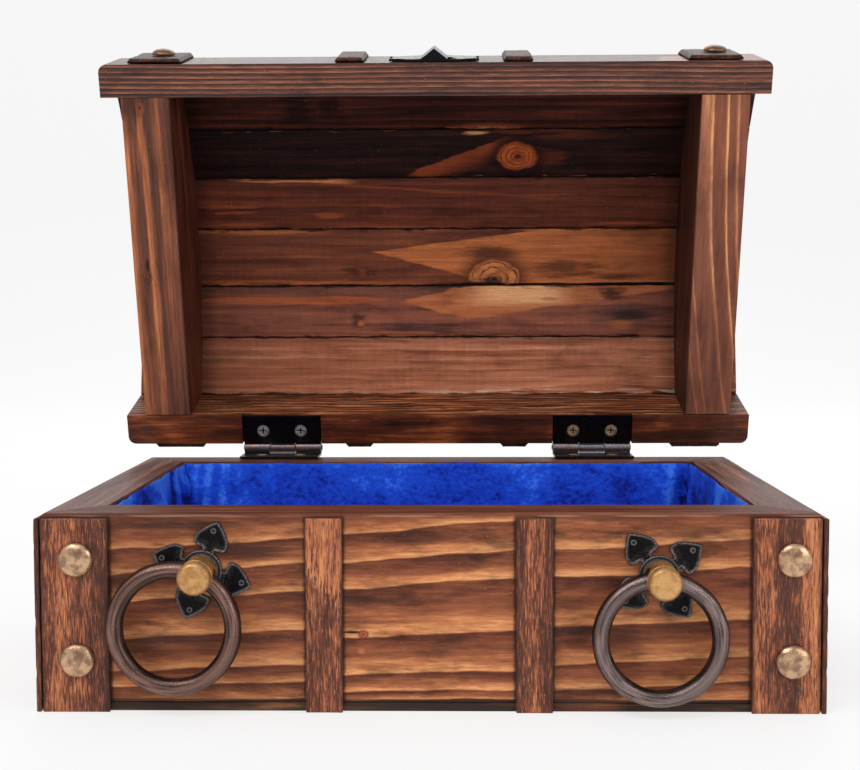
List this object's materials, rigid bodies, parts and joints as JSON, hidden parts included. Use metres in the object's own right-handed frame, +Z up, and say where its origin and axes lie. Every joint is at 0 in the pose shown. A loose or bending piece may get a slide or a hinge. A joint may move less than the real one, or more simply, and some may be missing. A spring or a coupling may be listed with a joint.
{
  "type": "wooden chest",
  "caption": "Small barrel-top wooden chest with a velvet lining, hinged lid, strap bands and swinging ring pulls.",
  "frame": {"origin": "centre of the chest's underside, on the surface it stands on", "axes": "+X along the length to the right seen from the front, -Y out of the front face, +Z up; the lid stands open at rest"},
  "size_m": [0.3058, 0.2413, 0.2685],
  "materials": {
    "pine_body": "scorched and stained pine, satin",
    "pine_lid": "dark stained pine, satin",
    "strap_wood": "rough scorched wood strip",
    "velvet": "crushed velvet",
    "black_iron": "hammered black, semi-gloss",
    "ring_iron": "antiqued bronze-brown patina",
    "brass": "aged, lightly mottled",
    "hinge_steel": "blackened, semi-gloss",
    "screw_steel": "zinc plated"
  },
  "bodies": {
    "chest_body": {"back_board": "pine_body", "back_corner_strap_left": "strap_wood", "back_corner_strap_right": "strap_wood", "back_mid_strap_left": "strap_wood", "back_mid_strap_right": "strap_wood", "bottom_board": "pine_body", "front_board": "pine_body", "front_corner_strap_left": "strap_wood", "front_corner_strap_right": "strap_wood", "front_mid_strap_left": "strap_wood", "front_mid_strap_right": "strap_wood", "front_nail_left_lower": "brass", "front_nail_left_upper": "brass", "front_nail_right_lower": "brass", "front_nail_right_upper": "brass", "handle_plate_left": "black_iron", "handle_plate_right": "black_iron", "hinge_body_leaf_left": "hinge_steel", "hinge_body_leaf_right": "hinge_steel", "hinge_body_screw_left_1": "screw_steel", "hinge_body_screw_left_2": "screw_steel", "hinge_body_screw_right_1": "screw_steel", "hinge_body_screw_right_2": "screw_steel", "hinge_pin_left": "hinge_steel", "hinge_pin_right": "hinge_steel", "left_end_board": "pine_body", "left_end_strap_back": "strap_wood", "left_end_strap_front": "strap_wood", "right_end_board": "pine_body", "right_end_strap_back": "strap_wood", "right_end_strap_front": "strap_wood", "velvet_lining": "velvet"},
    "lid": {"hinge_lid_leaf_left": "hinge_steel", "hinge_lid_leaf_right": "hinge_steel", "hinge_lid_screw_left_1": "screw_steel", "hinge_lid_screw_left_2": "screw_steel", "hinge_lid_screw_right_1": "screw_steel", "hinge_lid_screw_right_2": "screw_steel", "lid_back_rail": "pine_lid", "lid_corner_strap_left": "strap_wood", "lid_corner_strap_right": "strap_wood", "lid_end_board_left": "pine_lid", "lid_end_board_right": "pine_lid", "lid_front_ornament": "black_iron", "lid_front_rail": "pine_lid", "lid_mid_strap_left": "strap_wood", "lid_mid_strap_right": "strap_wood", "lid_nail_left": "brass", "lid_nail_right": "brass", "lid_stave_1": "pine_lid", "lid_stave_2": "pine_lid", "lid_stave_3": "pine_lid", "lid_stave_4": "pine_lid", "lid_stave_5": "pine_lid", "lid_stave_6": "pine_lid"},
    "post_left": {"handle_post_left": "brass"},
    "ring_left": {"pull_ring_left": "ring_iron"},
    "post_right": {"handle_post_right": "brass"},
    "ring_right": {"pull_ring_right": "ring_iron"}
  },
  "joints": [
    {"name": "lid_hinge", "type": "hinge", "parent": "chest_body", "child": "lid", "pos_m": [0, 0.0954, 0.077], "axis": [-1, 0, 0], "range_deg": [-75, 30]},
    {"name": "handle_swivel_left", "type": "hinge", "parent": "chest_body", "child": "post_left", "pos_m": [-0.0828, -0.09, 0.0523], "axis": [0, 1, 0], "range_deg": [-84.5, 35.5]},
    {"name": "ring_swing_left", "type": "hinge", "parent": "post_left", "child": "ring_left", "pos_m": [-0.0828, -0.0986, 0.0523], "axis": [-0.91, 0, 0.4147], "range_deg": [-3, 170]},
    {"name": "handle_swivel_right", "type": "hinge", "parent": "chest_body", "child": "post_right", "pos_m": [0.0832, -0.09, 0.0505], "axis": [0, 1, 0], "range_deg": [-61, 59]},
    {"name": "ring_swing_right", "type": "hinge", "parent": "post_right", "child": "ring_right", "pos_m": [0.0832, -0.0986, 0.0505], "axis": [-0.9998, 0, 0.0175], "range_deg": [-3, 170]}
  ]
}
